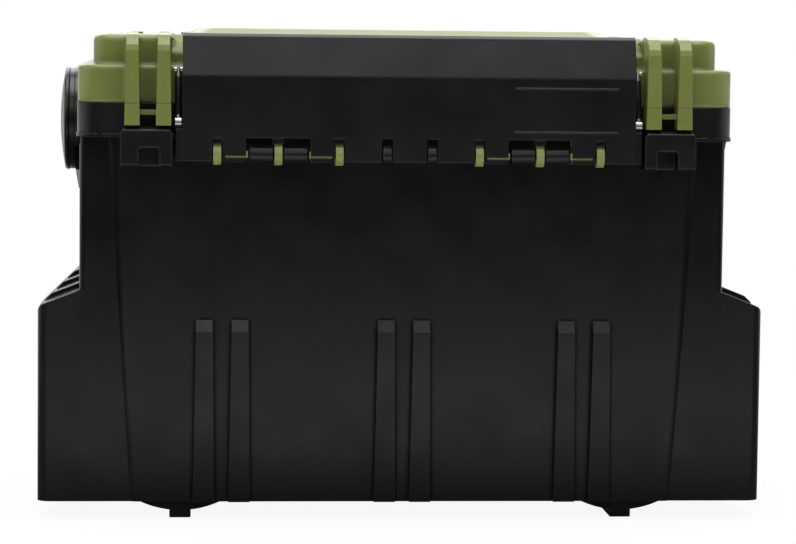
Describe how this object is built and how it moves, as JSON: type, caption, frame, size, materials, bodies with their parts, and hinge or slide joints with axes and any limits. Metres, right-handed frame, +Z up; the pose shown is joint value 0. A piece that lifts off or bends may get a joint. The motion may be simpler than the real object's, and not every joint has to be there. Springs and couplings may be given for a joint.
{
  "type": "fishing tackle cabinet",
  "caption": "Large hard tackle box: black tub with side steps, green two-tier lid, lever latches with hinge knuckles on both long sides and a folding carry handle.",
  "frame": {"origin": "centre of the bounding box in plan, on the ground under the feet", "axes": "+X along the long side, to the right in the picture; +Y to the rear, away from the pictured side; +Z up"},
  "size_m": [0.477, 0.3606, 0.32],
  "materials": {
    "tub_black": "fine-grained moulded polypropylene",
    "foot_black": "moulded",
    "steel": "stainless",
    "hub_base_black": "moulded",
    "hub_black": "moulded",
    "lid_green": "fine-grained moulded polypropylene",
    "liner_black": "moulded",
    "seal_rubber": "soft",
    "cover_black": "semi-matt moulded",
    "leaf_green": "moulded",
    "handle_black": "moulded",
    "grip_rubber": "ribbed"
  },
  "bodies": {
    "tub": {"tub": "tub_black", "rim_front": "tub_black", "rim_rear": "tub_black", "rim_left": "tub_black", "rim_right": "tub_black", "step_left": "tub_black", "step_right": "tub_black", "bracket_front_left": "tub_black", "bracket_front_right": "tub_black", "bracket_rear_left": "tub_black", "bracket_rear_right": "tub_black", "foot_front_left": "foot_black", "foot_front_right": "foot_black", "foot_rear_left": "foot_black", "foot_rear_right": "foot_black", "hinge_pin_front": "steel", "hinge_pin_rear": "steel", "hub_base_left": "hub_base_black", "hub_base_right": "hub_base_black", "hub_bolt_left": "steel", "hub_bolt_right": "steel", "hub_nut_left": "steel", "hub_nut_right": "steel"},
    "lid": {"lid_shell": "lid_green", "lid_liner": "liner_black", "lid_seal": "seal_rubber", "cover_rear": "cover_black", "leaf_rear_left": "leaf_green", "leaf_rear_right": "leaf_green", "link_pins_rear": "steel"},
    "rear_link": {"link_rear": "steel"},
    "front_lever": {"cover_front": "cover_black", "leaf_front_left": "leaf_green", "leaf_front_right": "leaf_green", "link_pins_front": "steel"},
    "front_link": {"link_front": "steel"},
    "handle": {"handle_bail": "handle_black", "hub_disc_left": "hub_black", "hub_disc_right": "hub_black", "handle_grip": "grip_rubber"}
  },
  "joints": [
    {"name": "lid_hinge", "type": "hinge", "parent": "tub", "child": "lid", "pos_m": [0, 0.1462, 0.24], "axis": [-1, 0, 0], "range_deg": [0, 100]},
    {"name": "rear_link_pivot", "type": "hinge", "parent": "lid", "child": "rear_link", "pos_m": [0, 0.1477, 0.26], "axis": [-1, 0, 0], "range_deg": [0, 10]},
    {"name": "front_lever_hinge", "type": "hinge", "parent": "tub", "child": "front_lever", "pos_m": [0, -0.1718, 0.24], "axis": [1, 0, 0], "range_deg": [0, 100]},
    {"name": "front_link_pivot", "type": "hinge", "parent": "front_lever", "child": "front_link", "pos_m": [0, -0.1733, 0.26], "axis": [1, 0, 0], "range_deg": [0, 10]},
    {"name": "handle_pivot", "type": "hinge", "parent": "tub", "child": "handle", "pos_m": [0, -0.0128, 0.257], "axis": [1, 0, 0], "range_deg": [0, 210]}
  ]
}
